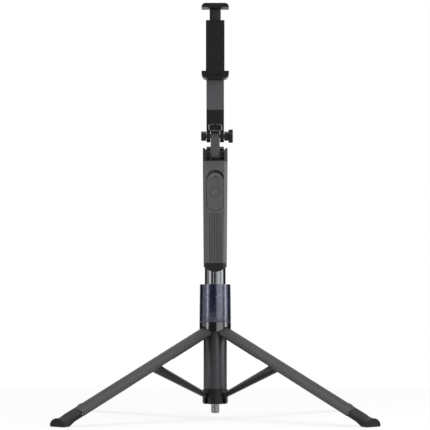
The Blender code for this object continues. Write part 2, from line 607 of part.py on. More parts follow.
def build_neck(materials):
    """Neck link that folds in the yoke, with its pin and its two spacer bushes."""
    half = NECK_WIDTH / 2
    outline = arc(NECK_BARREL_RADIUS, 180, 360, 2 * ARC_STEPS)
    outline += arc(NECK_BARREL_RADIUS, 0, 180, 2 * ARC_STEPS, (0.0, NECK_LENGTH))
    link = extrude("neck_link", outline, "X", -half, half)
    flange_bottom = YOKE_TOP + CLEARANCE - NECK_PIVOT_HEIGHT
    flange = block("neck_flange", (-NECK_FLANGE_HALF, -NECK_DEPTH / 2, flange_bottom),
                   (NECK_FLANGE_HALF, NECK_DEPTH / 2, flange_bottom + NECK_FLANGE_HEIGHT))
    holes = [rod("fold_hole", "X", NECK_PIN_RADIUS + CLEARANCE, -NECK_WIDTH, NECK_WIDTH),
             rod("tilt_hole", "X", BOLT_RADIUS + CLEARANCE, -NECK_WIDTH, NECK_WIDTH, (0.0, NECK_LENGTH))]
    origin = (0.0, 0.0, NECK_PIVOT_HEIGHT)
    add("neck", combine(combine(link, [flange], "UNION"), holes), materials["arm"], origin)
    pin_half = HANDLE_TOP_WIDTH / 2 - CLEARANCE
    add("neck_pin", rod("neck_pin", "X", NECK_PIN_RADIUS, -pin_half, pin_half), materials["steel"], origin)
    inner = NECK_PIN_RADIUS + CLEARANCE
    start = half + CLEARANCE
    stop = YOKE_GAP - CLEARANCE
    for side, sign in (("left", -1), ("right", 1)):
        bush = turned("bush", [(NECK_BUSH_RADIUS, stop), (NECK_BUSH_RADIUS, start), (inner, start),
                               (inner, stop)], SMALL_ROUND_STEPS, hollow=True)
        bush = moved(bush, Matrix.Rotation(sign * math.pi / 2, 4, "Y"))
        add(f"neck_bush_{side}", bush, materials["black"], origin)


def build_arm(materials):
    """Cranked arm with its forked foot, the steel clip on its front and the tilt bolt, nut and knob."""
    root = ARM_EAR_RADIUS
    plate_back = ARM_THICKNESS - ARM_FRONT
    bend_high = ARM_BEND_START + ARM_BEND_RISE
    top = ARM_LENGTH + ARM_WIDTH / 2
    outline = arc(root, 180, 360, 2 * ARC_STEPS)
    outline += [(root, root), (plate_back, bend_high + ARM_THICKNESS), (plate_back, top), (-ARM_FRONT, top),
                (-ARM_FRONT, bend_high), (-root, ARM_BEND_START)]
    half = ARM_WIDTH / 2
    blank = extrude("arm_blank", outline, "X", -half, half)
    fork_top = NECK_BARREL_RADIUS + 2 * CLEARANCE
    fork = block("fork", (-EAR_INNER, -2 * root, -2 * root), (EAR_INNER, 2 * root, fork_top))
    bolt_hole = rod("bolt_hole", "X", BOLT_RADIUS + CLEARANCE, -ARM_WIDTH, ARM_WIDTH)
    swivel_hole = rod("swivel_hole", "Y", SWIVEL_RADIUS + CLEARANCE, -2 * ARM_FRONT, 0.0, (0.0, ARM_LENGTH))
    origin = (0.0, 0.0, TILT_HEIGHT)
    cuts = [fork, bolt_hole, swivel_hole]
    for sign in (-1, 1):
        corner = [(sign * x, z) for x, z in arc(half, 0, 90, ARC_STEPS, (0.0, ARM_LENGTH))]
        corner += [(0.0, 2 * top), (sign * ARM_WIDTH, 2 * top), (sign * ARM_WIDTH, ARM_LENGTH)]
        cuts.append(extrude("top_corner", corner, "Y", -2 * ARM_FRONT, 0.0))
    add("arm", combine(blank, cuts), materials["arm"], origin)

    clip_front = -root - CLEARANCE
    ring = rounded_box(CLIP_WIDTH, CLIP_HEIGHT, 2 * CLIP_BAND)
    window = rounded_box(CLIP_WIDTH - 2 * CLIP_BAND, CLIP_HEIGHT - 2 * CLIP_BAND, CLIP_BAND)
    middle = CLIP_RISE + CLIP_HEIGHT / 2
    ring = [(x, z + middle) for x, z in ring]
    window = [(x, z + middle) for x, z in window]
    clip = extrude("clip", ring, "Y", clip_front - CLIP_DEPTH, clip_front)
    opening = extrude("clip_window", window, "Y", 4 * clip_front, 0.0)
    split = block("clip_split", (-CLIP_SPLIT / 2, 4 * clip_front, middle), (CLIP_SPLIT / 2, 0.0, 2 * middle))
    add("hinge_clip", combine(clip, [opening, split]), materials["steel"], origin)

    nut_start = half + CLEARANCE
    bolt_left = -nut_start - NUT_LENGTH / 2
    knob_start = half + CLEARANCE
    bolt_right = knob_start + KNOB_NECK_LENGTH
    add("tilt_bolt", rod("bolt", "X", BOLT_RADIUS, bolt_left, bolt_right), materials["steel"], origin)
    quarter = Matrix.Rotation(math.pi / 2, 4, "Y")
    nut = turned("nut", [(NUT_RADIUS, -nut_start), (NUT_RADIUS, -nut_start - NUT_LENGTH)], SMALL_ROUND_STEPS)
    nut_hole = rod("nut_hole", "X", BOLT_RADIUS + CLEARANCE, bolt_left - CLEARANCE, 0.0)
    add("tilt_nut", combine(moved(nut, quarter), [nut_hole]), materials["black"], origin)
    neck_end = knob_start + KNOB_NECK_LENGTH
    knob = turned("knob", [(KNOB_RADIUS, neck_end + KNOB_LENGTH), (KNOB_RADIUS, neck_end),
                           (KNOB_NECK_RADIUS, neck_end), (KNOB_NECK_RADIUS, knob_start)])
    knob_hole = rod("knob_hole", "X", BOLT_RADIUS + CLEARANCE, 0.0, bolt_right + CLEARANCE)
    add("tilt_knob", combine(moved(knob, quarter), [knob_hole]), materials["black"], origin)


def jaw_outline(height):
    """Front outline of a jaw: flat on the phone's side, with round outer corners."""
    half = JAW_WIDTH / 2
    corner = min(JAW_CORNER, height - CLEARANCE)
    flat = half - corner
    return ([(half, 0.0)] + arc(corner, 0, 90, ARC_STEPS, (flat, height - corner))
            + arc(corner, 90, 180, ARC_STEPS, (-flat, height - corner)) + [(-half, 0.0)])


def build_clamp(materials):
    """Phone clamp: spine on its swivel pin, fixed lower jaw and sliding upper jaw with rubber lips."""
    origin = (0.0, 0.0, SWIVEL_HEIGHT)
    lower_face = LOWER_JAW_TOP - SWIVEL_HEIGHT
    high = SPINE_TOP - SWIVEL_HEIGHT
    jaw_face = UPPER_JAW_BOTTOM - SWIVEL_HEIGHT
    spine = block("spine", (-SPINE_WIDTH / 2, SPINE_FRONT, lower_face), (SPINE_WIDTH / 2, SPINE_REAR, high))
    slot_half = STEM_WIDTH / 2 + CLEARANCE
    slot_bottom = jaw_face - STEM_DROP - JAW_CLOSING - CLEARANCE
    slot = block("stem_slot", (-slot_half, SLOT_FRONT, slot_bottom), (slot_half, SLOT_REAR, 2 * high))
    pin_seat = SPINE_REAR - SPINE_BACK_WALL / 2
    hole = rod("swivel_seat", "Y", SWIVEL_RADIUS + CLEARANCE, pin_seat - CLEARANCE, 0.0)
    add("clamp_spine", combine(spine, [slot, hole]), materials["black"], origin)

    head = ARM_THICKNESS - ARM_FRONT + CLEARANCE
    profile = [(SWIVEL_RADIUS, -pin_seat), (SWIVEL_RADIUS, -head), (SWIVEL_HEAD_RADIUS, -head),
               (SWIVEL_HEAD_RADIUS, -head - SWIVEL_HEAD_LENGTH)]
    pin = moved(turned("swivel", profile, SMALL_ROUND_STEPS), Matrix.Rotation(math.pi / 2, 4, "X"))
    add("swivel_pin", pin, materials["steel"], origin)

    lower = [(x, lower_face - z) for x, z in jaw_outline(LOWER_JAW_HEIGHT)]
    jaw = extrude("lower", lower, "Y", JAW_FRONT, SPINE_REAR)
    seat = block("spine_seat", (-JAW_WIDTH, SPINE_FRONT - CLEARANCE, lower_face - CLEARANCE),
                 (JAW_WIDTH, 0.0, lower_face + LOWER_JAW_HEIGHT))
    add("lower_jaw", combine(jaw, [seat]), materials["black"], origin)
    pad_half = PAD_WIDTH / 2
    pad_front = JAW_FRONT - CLEARANCE - PAD_THICKNESS
    lip = block("lower_lip", (-pad_half, pad_front, lower_face - PAD_SEAT),
                (pad_half, JAW_FRONT - CLEARANCE, lower_face + PAD_LIP_HEIGHT))
    add("lower_lip_pad", lip, materials["rubber"], origin)

    jaw_origin = (0.0, 0.0, UPPER_JAW_BOTTOM)
    upper = extrude("upper", jaw_outline(UPPER_JAW_HEIGHT), "Y", JAW_FRONT, SPINE_REAR)
    stem_rear = SLOT_REAR - CLEARANCE
    stem = block("stem", (-STEM_WIDTH / 2, stem_rear - STEM_THICKNESS, -STEM_DROP),
                 (STEM_WIDTH / 2, stem_rear, UPPER_JAW_HEIGHT / 2))
    add("upper_jaw", combine(upper, [stem], "UNION"), materials["black"], jaw_origin)
    lip = block("upper_lip", (-pad_half, pad_front, -UPPER_LIP_HEIGHT),
                (pad_half, JAW_FRONT - CLEARANCE, UPPER_JAW_HEIGHT / 2))
    add("upper_lip_pad", lip, materials["rubber"], jaw_origin)


def main():
    """Build the whole stick."""
    clear_scene()
    materials = {
        "leg": finish("charcoal_polymer", "#4a4a4b", 0.55),
        "rubber": finish("black_rubber", "#161617", 0.80),
        "steel": finish("bright_steel", "#c9cacb", 0.25, 1.0),
        "black": finish("black_polymer", "#1d1d1e", 0.50),
        "gloss": finish("gloss_black_polymer", "#111112", 0.15),
        "navy": finish("navy_flake_lacquer", "#20283f", 0.25),
        "column": finish("grey_anodised_aluminium", "#3f3f41", 0.35, 0.8),
        "chrome": finish("polished_steel", "#d4d5d6", 0.12, 1.0),
        "handle": finish("dark_grey_polymer", "#505051", 0.45),
        "arm": finish("bead_blasted_aluminium", "#47474a", 0.60, 0.5),
    }
    build_column(materials)
    build_legs(materials)
    build_tubes(materials)
    build_handle(materials)
    build_remote(materials)
    build_neck(materials)
    build_arm(materials)
    build_clamp(materials)


main()
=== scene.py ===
# %% [markdown]
# # A selfie stick on a folding stand
# The construction arrives as a frame of rigid solids with joints. This lesson dresses it: each visible
# piece gets eased edges and fine detail, and each finish is built from nodes. Nothing of the frame is
# moved.

# %% Load the frame
import json
import math

import bmesh
import bpy
from mathutils import Matrix, Vector


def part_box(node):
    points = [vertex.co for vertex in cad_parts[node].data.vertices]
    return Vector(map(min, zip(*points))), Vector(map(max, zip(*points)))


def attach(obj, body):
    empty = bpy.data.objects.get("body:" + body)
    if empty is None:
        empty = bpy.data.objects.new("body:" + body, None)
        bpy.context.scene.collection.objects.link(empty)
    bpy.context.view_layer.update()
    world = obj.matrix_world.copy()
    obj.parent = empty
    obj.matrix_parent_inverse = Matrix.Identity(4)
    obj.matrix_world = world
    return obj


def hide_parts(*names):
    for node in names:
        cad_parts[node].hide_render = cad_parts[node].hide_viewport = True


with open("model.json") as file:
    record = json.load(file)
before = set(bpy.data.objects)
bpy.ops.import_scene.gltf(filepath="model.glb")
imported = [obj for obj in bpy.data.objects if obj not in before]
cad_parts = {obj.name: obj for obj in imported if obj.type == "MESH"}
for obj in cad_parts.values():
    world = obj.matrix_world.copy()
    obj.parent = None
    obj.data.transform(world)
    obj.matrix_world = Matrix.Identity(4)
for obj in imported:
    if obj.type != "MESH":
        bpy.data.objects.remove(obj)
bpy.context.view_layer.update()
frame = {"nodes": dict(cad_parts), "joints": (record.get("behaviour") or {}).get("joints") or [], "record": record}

MM = 0.001
scene = bpy.context.scene
scene.view_settings.view_transform = "Standard"
record = frame["record"]
joints = {joint["name"]: joint for joint in frame["joints"]}
body_of = {node: body for body, nodes in record["behaviour"]["bodies"].items() for node in nodes}
slot_of = {entry["node"]: entry["material_slot"] for entry in record["subparts"]}
print("nodes in the frame:", len(frame["nodes"]))

# %% [markdown]
# ## Camera
# The photograph was taken from low down with a long lens: the feet nearest the lens sit lower in the
# picture than the rear ones, and that spread gives the distance. The camera looks up by four degrees, which
# puts the stick in the middle of the square frame, and the long lens keeps the uprights almost parallel.

# %% Camera
PHOTO_SIDE = 430
AXIS_COLUMN = 215.2
FOCAL_PIXELS = 1588.0
CAMERA_DISTANCE = 1.707
CAMERA_HEIGHT = 0.099
CAMERA_TILT = math.radians(3.96)
SENSOR_WIDTH = 36.0

camera_data = bpy.data.cameras.new("photo_camera")
camera_data.sensor_width = SENSOR_WIDTH
camera_data.lens = SENSOR_WIDTH * FOCAL_PIXELS / PHOTO_SIDE
camera_data.shift_x = (PHOTO_SIDE / 2 - AXIS_COLUMN) / PHOTO_SIDE
camera = bpy.data.objects.new("photo_camera", camera_data)
camera.location = (0.0, -CAMERA_DISTANCE, CAMERA_HEIGHT)
camera.rotation_euler = (math.radians(90) + CAMERA_TILT, 0.0, 0.0)
scene.collection.objects.link(camera)
scene.camera = camera
print("lens", round(camera_data.lens, 1), "mm")

# %% [markdown]
# ## Finishes
# Every finish starts from the real material and how its surface was made. Two helpers do the repeated work:
# one turns an sRGB hex colour to linear, and one adds a node with its options and links. Coordinates are
# the object's own, in metres, so a pattern's scale is one over its size.

# %% Colours and nodes
def colour(code):
    """Linear RGBA from an sRGB hex colour."""
    channels = [int(code[index:index + 2], 16) / 255 for index in (1, 3, 5)]
    return [c / 12.92 if c <= 0.04045 else ((c + 0.055) / 1.055) ** 2.4 for c in channels] + [1.0]


def put(tree, kind, inputs=(), **options):
    """Add a node, set its options, then fill or link its inputs."""
    node = tree.nodes.new(kind)
    for name, value in options.items():
        setattr(node, name, value)
    for name, value in dict(inputs).items():
        if isinstance(value, bpy.types.NodeSocket):
            tree.links.new(value, node.inputs[name])
        else:
            node.inputs[name].default_value = value
    return node


print("middle grey in linear light:", round(colour("#808080")[0], 3))

# %% Helpers for materials
def start_material(name, roughness, metallic=0.0, coat=0.0, coat_roughness=0.05, ior=1.5):
    """A Principled material with its constants on the shader's own sockets."""
    material = bpy.data.materials.new(name)
    material.use_nodes = True
    shader = material.node_tree.nodes["Principled BSDF"]
    shader.inputs["Roughness"].default_value = roughness
    shader.inputs["Metallic"].default_value = metallic
    shader.inputs["Coat Weight"].default_value = coat
    shader.inputs["Coat Roughness"].default_value = coat_roughness
    if metallic == 0.0:
        shader.inputs["IOR"].default_value = ior
    return material, material.node_tree, shader


def grain_vector(tree, size_mm, stretch=(1.0, 1.0, 1.0)):
    """Object coordinates scaled so that one unit is one grain, longer along a stretched axis."""
    place = put(tree, "ShaderNodeTexCoord")
    scale = [1 / (size_mm * MM * factor) for factor in stretch]
    mapping = put(tree, "ShaderNodeMapping", {"Vector": place.outputs["Object"], "Scale": scale})
    return mapping.outputs["Vector"]


def mottle(tree, shader, vector, dark, light, detail=2.0):
    """Base colour that wanders between two near tones, and the noise that drives it."""
    noise = put(tree, "ShaderNodeTexNoise", {"Vector": vector, "Scale": 1.0, "Detail": detail})
    tones = {0: noise.outputs["Fac"], 6: colour(dark), 7: colour(light)}
    mix = put(tree, "ShaderNodeMix", tones, data_type="RGBA")
    tree.links.new(mix.outputs[2], shader.inputs["Base Color"])
    return noise.outputs["Fac"]


def grain_bump(tree, shader, height, depth_mm, strength):
    """Raise the surface by a height pattern of a real depth."""
    bump = put(tree, "ShaderNodeBump", {"Height": height, "Strength": strength, "Distance": depth_mm * MM})
    tree.links.new(bump.outputs["Normal"], shader.inputs["Normal"])


def vary_roughness(tree, shader, pattern, low, high):
    """Let a pattern move the roughness between two values."""
    span = put(tree, "ShaderNodeMapRange", {"Value": pattern, "To Min": low, "To Max": high})
    tree.links.new(span.outputs["Result"], shader.inputs["Roughness"])


finishes = {}
print("slots to fill:", ", ".join(sorted(set(slot_of.values()))))

# %% [markdown]
# ### Moulded plastics
# The legs are glass-filled nylon: the mould's spark-eroded face leaves an even matte grain, and the filler
# makes the tone slightly uneven. The handle is finer ABS with a satin face. The small black mouldings are
# the same ABS, dyed through, and the collar is the same again from a polished mould.

# %% Grey plastics
TEXTURED_SHINE = 0.25


def charcoal_nylon():
    """Legs: spark-eroded glass-filled nylon, whose texture halves its shine.

    The 0.1 mm grain is drawn at 1 mm so that it shows.
    """
    material, tree, shader = start_material("charcoal_nylon_moulded", 0.5, ior=1.53)
    fine = mottle(tree, shader, grain_vector(tree, 1.0), "#1e1e1f", "#2e2e2f")
    shader.inputs["Specular IOR Level"].default_value = TEXTURED_SHINE
    vary_roughness(tree, shader, fine, 0.44, 0.60)
    grain_bump(tree, shader, fine, 0.10, 0.35)
    return material


def satin_abs():
    """Handle and remote: satin dark grey ABS with a fine even grain, drawn at 0.8 mm so that it shows."""
    material, tree, shader = start_material("dark_grey_abs_satin", 0.42, ior=1.53)
    fine = mottle(tree, shader, grain_vector(tree, 0.8), "#3e3e3f", "#4a4a4b")
    vary_roughness(tree, shader, fine, 0.36, 0.48)
    grain_bump(tree, shader, fine, 0.05, 0.25)
    return material


finishes["charcoal_polymer"] = charcoal_nylon()
finishes["dark_grey_polymer"] = satin_abs()
print("grey plastics:", len(finishes))

# %% Black plastics
def black_abs():
    """Caps, yoke, jaws, hub and struts: black ABS, whose fine texture halves its shine."""
    material, tree, shader = start_material("black_abs_moulded", 0.4, ior=1.53)
    fine = mottle(tree, shader, grain_vector(tree, 0.9), "#0a0a0b", "#121213")
    shader.inputs["Specular IOR Level"].default_value = TEXTURED_SHINE
    vary_roughness(tree, shader, fine, 0.34, 0.48)
    grain_bump(tree, shader, fine, 0.06, 0.3)
    return material


def gloss_abs():
    """Collar: black ABS from a polished mould, with the slight waviness that shrinkage leaves."""
    material, tree, shader = start_material("black_abs_polished", 0.14, coat=0.5, ior=1.53)
    slow = mottle(tree, shader, grain_vector(tree, 9.0), "#0d0d0e", "#141415")
    vary_roughness(tree, shader, slow, 0.10, 0.18)
    grain_bump(tree, shader, slow, 0.05, 0.2)
    return material


finishes["black_polymer"] = black_abs()
finishes["gloss_black_polymer"] = gloss_abs()
print("plastics so far:", len(finishes))

# %% [markdown]
# ### Rubber
# Rubber is black with a dull bloom and hardly any mirror. The shoes are near black on their ends and
# dark grey elsewhere. A face that looks outwards from the column is such an end, so the angle between a
# face and that direction finds it.

# %% Rubber
RUBBER_SHINE = 0.2


def black_rubber():
    """Lip pads: matte vulcanised rubber with a fine bloom."""
    material, tree, shader = start_material("black_rubber_moulded", 0.75, ior=1.52)
    fine = mottle(tree, shader, grain_vector(tree, 1.1), "#0b0b0c", "#141415", detail=4.0)
    shader.inputs["Specular IOR Level"].default_value = RUBBER_SHINE
    vary_roughness(tree, shader, fine, 0.62, 0.85)
    grain_bump(tree, shader, fine, 0.10, 0.4)
    return material


def shoe_dark_end():
    """Shoes: dark grey rubber, near black on faces that look outwards from the column."""
    material, tree, shader = start_material("charcoal_rubber_dark_end", 0.6, ior=1.52)
    fine = mottle(tree, shader, grain_vector(tree, 1.0), "#141415", "#1f1f20", detail=4.0)
    shader.inputs["Specular IOR Level"].default_value = RUBBER_SHINE
    grey = shader.inputs["Base Color"].links[0].from_socket
    place = put(tree, "ShaderNodeTexCoord")
    level = {0: place.outputs["Object"], 1: (1.0, 1.0, 0.0)}
    flat = put(tree, "ShaderNodeVectorMath", level, operation="MULTIPLY")
    outward = put(tree, "ShaderNodeVectorMath", {0: flat.outputs[0]}, operation="NORMALIZE")
    pair = {0: outward.outputs[0], 1: place.outputs["Normal"]}
    facing = put(tree, "ShaderNodeVectorMath", pair, operation="DOT_PRODUCT")
    # Near black where a face looks outwards from the column, dark grey rubber elsewhere.
    outward_share = put(tree, "ShaderNodeMapRange", {0: facing.outputs["Value"], 1: 0.6, 2: 0.8})
    mix = put(tree, "ShaderNodeMix", {0: outward_share.outputs[0], 6: grey, 7: colour("#080809")}, data_type="RGBA")
    tree.links.new(mix.outputs[2], shader.inputs["Base Color"])
    vary_roughness(tree, shader, fine, 0.52, 0.75)
    grain_bump(tree, shader, fine, 0.10, 0.4)
    return material


finishes["black_rubber"] = black_rubber()
shoe_finish = shoe_dark_end()
print("shoes:", shoe_finish.name)

# %% [markdown]
# ### Metals
# The column is brushed and then anodised dark grey, so it keeps soft streaks along its length. The
# telescopic tube is drawn and polished, bright with faint draw lines. The arm is bead blasted: a pebbled
# matte skin, with painted shade making its lower end near black. Small pins are turned steel.

# %% Tubes and pins
def anodised_column():
    """Column: brushed aluminium under dark grey anodising. The streaks run along the tube."""
    material, tree, shader = start_material("aluminium_brushed_anodised", 0.36, metallic=0.85)
    streaks = mottle(tree, shader, grain_vector(tree, 0.7, (1.0, 1.0, 60.0)), "#3b3b3d", "#4b4b4e")
    vary_roughness(tree, shader, streaks, 0.30, 0.44)
    grain_bump(tree, shader, streaks, 0.02, 0.2)
    return material


def polished_tube():
    """Telescopic tubes: drawn and polished steel, with faint draw lines along them."""
    material, tree, shader = start_material("steel_drawn_polished", 0.1, metallic=1.0)
    streaks = mottle(tree, shader, grain_vector(tree, 0.6, (1.0, 1.0, 120.0)), "#565759", "#77787a")
    vary_roughness(tree, shader, streaks, 0.16, 0.26)
    return material


def turned_steel():
    """Spigot, clip, bolt and pins: turned bright steel, brushed by the tool in fine rings."""
    material, tree, shader = start_material("steel_turned_bright", 0.24, metallic=1.0)
    rings = mottle(tree, shader, grain_vector(tree, 0.5, (20.0, 20.0, 1.0)), "#646567", "#88898b")
    vary_roughness(tree, shader, rings, 0.18, 0.32)
    grain_bump(tree, shader, rings, 0.02, 0.2)
    return material


finishes["grey_anodised_aluminium"] = anodised_column()
finishes["polished_steel"] = polished_tube()
finishes["bright_steel"] = turned_steel()
print("finishes so far:", len(finishes))

# %% Blasted bar
# The painted shade on the arm's lower end: its height above the arm's lowest point, and its soft edge.
SHADE_RISE = 34.2 * MM
SHADE_EDGE = 0.5 * MM


def blasted_aluminium(name):
    """Arm and neck: bead blasted to a pebbled grey. The 0.3 mm pits are drawn at 1.2 mm so that they show."""
    material, tree, shader = start_material(name, 0.52, metallic=0.55)
    pits = mottle(tree, shader, grain_vector(tree, 1.2), "#363638", "#5a5a5d", detail=3.0)
    vary_roughness(tree, shader, pits, 0.45, 0.62)
    grain_bump(tree, shader, pits, 0.12, 0.5)
    return material


def shade_below(material, below):
    """Painted shade: near black on everything under a height, the bar's lower end below its bend."""
    tree = material.node_tree
    shader = tree.nodes["Principled BSDF"]
    blasted = shader.inputs["Base Color"].links[0].from_socket
    place = put(tree, "ShaderNodeSeparateXYZ", {0: put(tree, "ShaderNodeTexCoord").outputs["Object"]})
    above = put(tree, "ShaderNodeMapRange", {0: place.outputs[2], 1: below - SHADE_EDGE, 2: below})
    tones = {0: above.outputs[0], 6: colour("#0c0c0d"), 7: blasted}
    shaded = put(tree, "ShaderNodeMix", tones, data_type="RGBA")
    tree.links.new(shaded.outputs[2], shader.inputs["Base Color"])
    return material


# Painted shade, near black, on the arm below this height.
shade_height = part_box("arm")[0].z + SHADE_RISE
finishes["bead_blasted_aluminium"] = shade_below(blasted_aluminium("aluminium_bead_blasted_arm"), shade_height)
neck_finish = blasted_aluminium("aluminium_bead_blasted_neck")
print("arm dipped black below", round(shade_height / MM), "mm")

# %% [markdown]
# ### Flake lacquer
# The sleeve is navy with metal flakes under a clear coat. Each flake is a tiny mirror lying at its own
# angle, so some catch the light and the rest stay dark. A Voronoi cell stands for each flake: the cell's
# random colour picks its brightness and tips the normal, and the clear coat over it stays smooth.

# %% Flake lacquer
def navy_flake():
    """Sleeve: navy base coat with 0.3 mm flakes, drawn at 0.8 mm so that they show, under a clear coat."""
    material, tree, shader = start_material("navy_flake_lacquer", 0.3, 0.6, coat=1.0, coat_roughness=0.12)
    cells = put(tree, "ShaderNodeTexVoronoi", {"Vector": grain_vector(tree, 0.8), "Scale": 1.0})
    split = put(tree, "ShaderNodeSeparateColor", {"Color": cells.outputs["Color"]})
    tones = put(tree, "ShaderNodeValToRGB", {"Fac": split.outputs[0]})
    tones.color_ramp.elements[0].color = colour("#10152a")
    tones.color_ramp.elements[0].position = 0.45
    tones.color_ramp.elements[1].color = colour("#465070")
    tones.color_ramp.elements[1].position = 1.0
    middle = tones.color_ramp.elements.new(0.8)
    middle.color = colour("#182040")
    tree.links.new(tones.outputs["Color"], shader.inputs["Base Color"])
    grain_bump(tree, shader, split.outputs[1], 0.10, 0.25)
    return material


finishes["navy_flake_lacquer"] = navy_flake()
print("finishes:", ", ".join(sorted(finishes)))

# %% [markdown]
# ## Light
# A product on white is lit by large soft boxes near it: a wide one in front on the right, a strip on each
# side, and one above. What lights it is dimmer than what the camera and mirrors see, so the page stays
# white while the black plastics stay black. Dark cards at both sides and behind the camera, seen only in
# reflections, keep black faces black and give metal its dark edges.

# %% White page and floor
SOFT_LIGHT = 0.35
LIT_SHARE = 0.2
SHADOW_REACH = 0.3
PAGE_REACH = 1.0


def seen_directly(tree):
    """One for camera, mirror and clear rays, and nought for the rays that carry light."""
    path = put(tree, "ShaderNodeLightPath")
    straight = {0: path.outputs["Is Camera Ray"], 1: path.outputs["Is Glossy Ray"]}
    seen = put(tree, "ShaderNodeMath", straight, operation="MAXIMUM")
    clear = {0: seen.outputs[0], 1: path.outputs["Is Transmission Ray"]}
    return put(tree, "ShaderNodeMath", clear, operation="MAXIMUM").outputs[0]


def surround():
    """White page where it is seen, and a softer grey light for everything else."""
    world = bpy.data.worlds.new("white_studio")
    scene.world = world
    world.use_nodes = True
    tree = world.node_tree
    tree.nodes.clear()
    soft = put(tree, "ShaderNodeBackground", {"Color": colour("#ffffff"), "Strength": SOFT_LIGHT})
    page = put(tree, "ShaderNodeBackground", {"Color": colour("#ffffff"), "Strength": 1.0})
    blend = put(tree, "ShaderNodeMixShader", {0: seen_directly(tree), 1: soft.outputs[0], 2: page.outputs[0]})
    put(tree, "ShaderNodeOutputWorld", {"Surface": blend.outputs[0]})


def floor_paper():
    """Matte white paper: a fifth of it is lit near the stick, for the shadow, and far off it is the page."""
    material = bpy.data.materials.new("white_paper_floor")
    material.use_nodes = True
    tree = material.node_tree
    tree.nodes.clear()
    place = put(tree, "ShaderNodeTexCoord")
    reach = put(tree, "ShaderNodeVectorMath", {0: place.outputs["Object"]}, operation="LENGTH")
    fade = {0: reach.outputs["Value"], 1: SHADOW_REACH, 2: PAGE_REACH, 3: 1.0 - LIT_SHARE, 4: 1.0}
    page = put(tree, "ShaderNodeMapRange", fade)
    share = put(tree, "ShaderNodeMath", {0: seen_directly(tree), 1: page.outputs[0]}, operation="MULTIPLY")
    lit = put(tree, "ShaderNodeBsdfDiffuse", {"Color": colour("#f4f4f4")})
    white = put(tree, "ShaderNodeEmission", {"Color": colour("#ffffff"), "Strength": 1.0})
    blend = put(tree, "ShaderNodeMixShader", {0: share.outputs[0], 1: lit.outputs[0], 2: white.outputs[0]})
    put(tree, "ShaderNodeOutputMaterial", {"Surface": blend.outputs[0]})
    return material


surround()
paper = floor_paper()
print("page and paper:", scene.world.name, paper.name)

# %% Floor and dark cards
FLOOR_DROP = 0.3 * MM
FLOOR_HALF = 3.0
SIDE_CARD = (0.6, 0.65, 0.3)
SIDE_CARD_HALF = 0.5
BACK_CARD = (0.0, -2.0, 0.8)
BACK_CARD_HALF = (1.9, 1.3)


def dark_card_paint():
    """Black card: it shows only as a dark band in the metal."""
    material, tree, shader = start_material("black_card", 0.9)
    mottle(tree, shader, grain_vector(tree, 5.0), "#050505", "#0a0a0a")
    return material


def flat_sheet(name, centre, across, up, material):
    """A rectangle about a centre, spanned by two half-side vectors."""
    centre, across, up = Vector(centre), Vector(across), Vector(up)
    corners = [centre - across - up, centre + across - up, centre + across + up, centre - across + up]
    mesh = bpy.data.meshes.new(name)
    mesh.from_pydata([tuple(corner) for corner in corners], [], [(0, 1, 2, 3)])
    mesh.materials.append(material)
    sheet = bpy.data.objects.new(name, mesh)
    scene.collection.objects.link(sheet)
    return sheet


flat_sheet("floor", (0, 0, -FLOOR_DROP), (FLOOR_HALF, 0, 0), (0, FLOOR_HALF, 0), paper)
card = dark_card_paint()
cards = []
for name, side in (("card_left", -1), ("card_right", 1)):
    centre = (side * SIDE_CARD[0], SIDE_CARD[1], SIDE_CARD[2])
    cards.append(flat_sheet(name, centre, (0, SIDE_CARD_HALF, 0), (0, 0, SIDE_CARD_HALF), card))
across, up = BACK_CARD_HALF
cards.append(flat_sheet("card_behind_camera", BACK_CARD, (across, 0, 0), (0, 0, up), card))
for sheet in cards:
    sheet.visible_camera = False
    sheet.visible_diffuse = False
    sheet.visible_shadow = False
print("cards:", len(cards))

# %% Lamps
STICK_MIDDLE = (0.0, 0.0, 0.2)


def soft_box(name, place, width, height, watts):
    """A rectangular lamp that faces the middle of the stick."""
    lamp = bpy.data.lights.new(name, "AREA")
    lamp.shape = "RECTANGLE"
    lamp.size = width
    lamp.size_y = height
    lamp.energy = watts
    box = bpy.data.objects.new(name, lamp)
    box.location = place
    box.rotation_euler = (Vector(STICK_MIDDLE) - Vector(place)).to_track_quat("-Z", "Y").to_euler()
    scene.collection.objects.link(box)
    return box


lamps = [soft_box("edge_left", (-1.05, -0.65, 0.35), width=0.3, height=1.1, watts=4.5),
         soft_box("key_right", (0.62, -1.0, 0.35), width=0.95, height=1.1, watts=9.0),
         soft_box("edge_right", (1.05, -0.15, 0.4), width=0.3, height=0.9, watts=4.0),
         soft_box("top", (0.0, 0.1, 1.3), width=0.7, height=0.7, watts=8.0)]
print("lamps:", ", ".join(lamp.name for lamp in lamps))

# %% [markdown]
# ## Eased pieces
# A real moulding or casting has no knife edges: each corner carries a small radius that catches a line of
# light. The frame's solids are exact but sharp, so each one is copied, its split points are welded, its
# flat facets are joined, and its edges are eased by a radius that suits its process: 0.2 mm for turned
# steel, more for rubber.

# %% A piece in a node's place
WELD = 1e-6
SAME_PLANE = math.radians(0.6)


def link_piece(name, mesh, node, smooth_deg=32.0):
    """Add a piece that rides on a node's body and wears its finish."""
    piece = bpy.data.objects.new(name, mesh)
    scene.collection.objects.link(piece)
    mesh.materials.clear()
    mesh.materials.append(finishes[slot_of[node]])
    mesh.shade_smooth()
    mesh.set_sharp_from_angle(angle=math.radians(smooth_deg))
    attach(piece, body_of[node])
    return piece


def welded(node):
    """A node's surface as a bmesh with its points welded and its flat facets joined."""
    shape = bmesh.new()
    shape.from_mesh(frame["nodes"][node].data)
    bmesh.ops.remove_doubles(shape, verts=shape.verts, dist=WELD)
    bmesh.ops.dissolve_limit(shape, angle_limit=SAME_PLANE, verts=shape.verts, edges=shape.edges)
    return shape


def to_mesh(name, shape):
    """Finish a bmesh as a mesh that faces out."""
    bmesh.ops.recalc_face_normals(shape, faces=shape.faces)
    mesh = bpy.data.meshes.new(name)
    shape.to_mesh(mesh)
    shape.free()
    return mesh


print("bodies to ride on:", len(set(body_of.values())))

